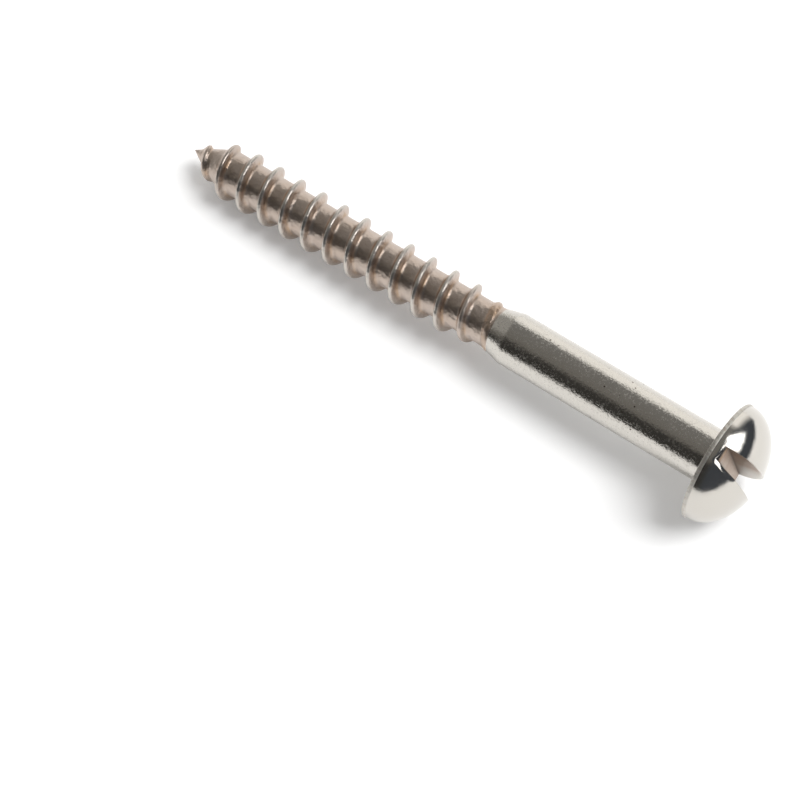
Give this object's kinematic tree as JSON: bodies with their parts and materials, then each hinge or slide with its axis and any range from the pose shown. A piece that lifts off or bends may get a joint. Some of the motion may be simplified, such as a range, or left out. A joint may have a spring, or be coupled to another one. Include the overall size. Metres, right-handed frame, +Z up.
{
  "type": "round head wood screw",
  "caption": "Slotted round head wood screw with a plain shank, a tapered shoulder and a coarse right-hand thread that runs down to a gimlet point.",
  "frame": {"origin": "centre of the flat seat under the head", "axes": "+X runs along the floor below the screw, from its point to its head; +Z is up, with the screw lying as it comes to rest, its axis 3.19 degrees off the floor, head end up"},
  "size_m": [0.0535, 0.0098, 0.0098],
  "materials": {
    "steel": "bright cold-formed steel, polished on the dome and finely speckled on the shank"
  },
  "bodies": {
    "root": {"wood_screw": "steel"}
  },
  "joints": []
}
